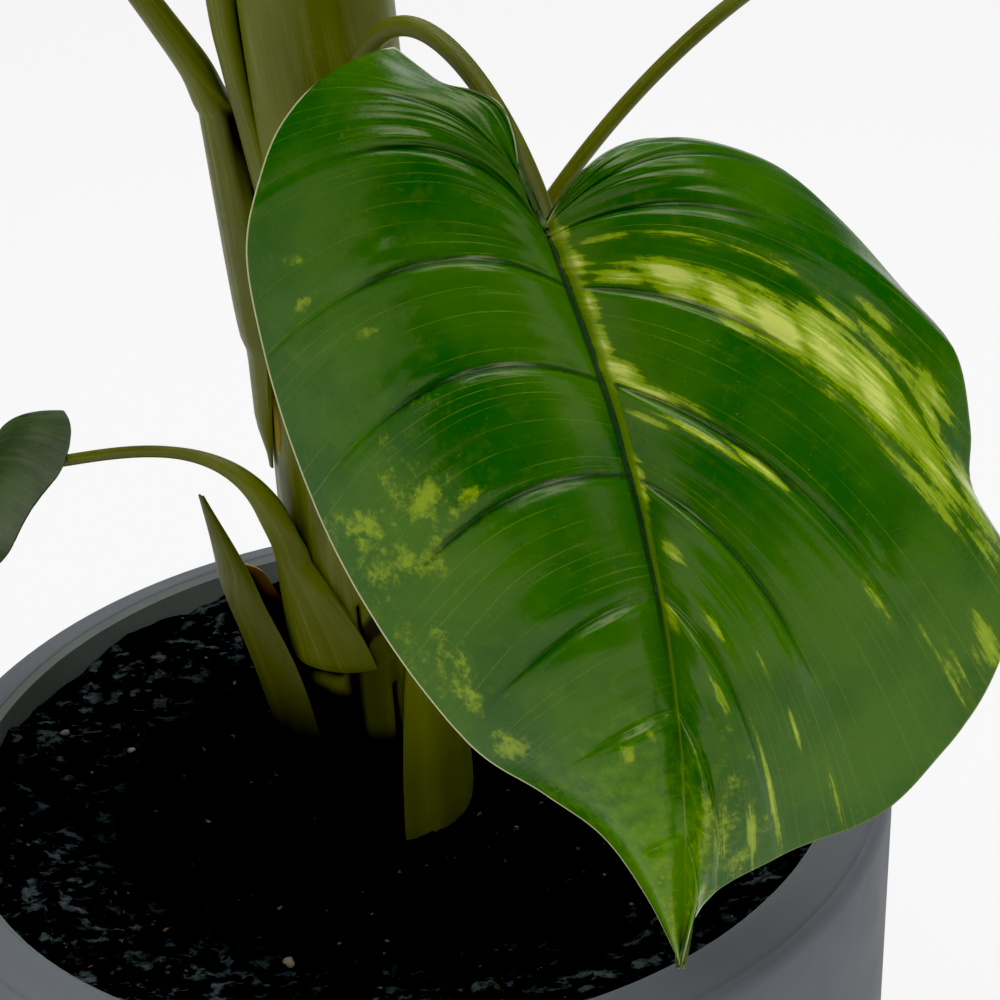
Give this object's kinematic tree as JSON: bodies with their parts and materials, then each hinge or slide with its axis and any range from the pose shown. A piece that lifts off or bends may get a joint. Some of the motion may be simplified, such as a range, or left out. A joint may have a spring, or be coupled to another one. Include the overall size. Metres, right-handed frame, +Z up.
{
  "type": "potted elephant ear",
  "caption": "House plant: an upright stem wrapped in leaf sheaths, with waved heart-shaped variegated leaves on long arching stalks, growing in dark soil in a plain round grey pot.",
  "frame": {"origin": "centre of the pot's flat underside", "axes": "+Z up along the pot's axis, +X to the right and +Y away from the viewer of the reference view"},
  "size_m": [0.5641, 0.5009, 1.0712],
  "materials": {
    "pot": "satin slate grey",
    "soil": "rough, moist potting mix",
    "stem": "waxy olive green",
    "leaf": "satin deep green with yellow-green blotches"
  },
  "bodies": {
    "root": {"pot": "pot", "soil": "soil", "trunk": "stem", "basal_bract": "stem", "leaf_01_low_left_stalk": "stem", "leaf_01_low_left_blade": "leaf", "leaf_02_right_stalk": "stem", "leaf_02_right_blade": "leaf", "leaf_03_front_stalk": "stem", "leaf_03_front_blade": "leaf", "leaf_04_left_stalk": "stem", "leaf_04_left_blade": "leaf", "leaf_05_front_left_stalk": "stem", "leaf_05_front_left_blade": "leaf", "leaf_06_upper_stalk": "stem", "leaf_06_upper_blade": "leaf", "leaf_07_upper_stalk": "stem", "leaf_07_upper_blade": "leaf", "leaf_08_upper_stalk": "stem", "leaf_08_upper_blade": "leaf", "leaf_09_upper_stalk": "stem", "leaf_09_upper_blade": "leaf", "leaf_10_upper_stalk": "stem", "leaf_10_upper_blade": "leaf", "leaf_11_upper_stalk": "stem", "leaf_11_upper_blade": "leaf", "leaf_12_upper_stalk": "stem", "leaf_12_upper_blade": "leaf"}
  },
  "joints": []
}
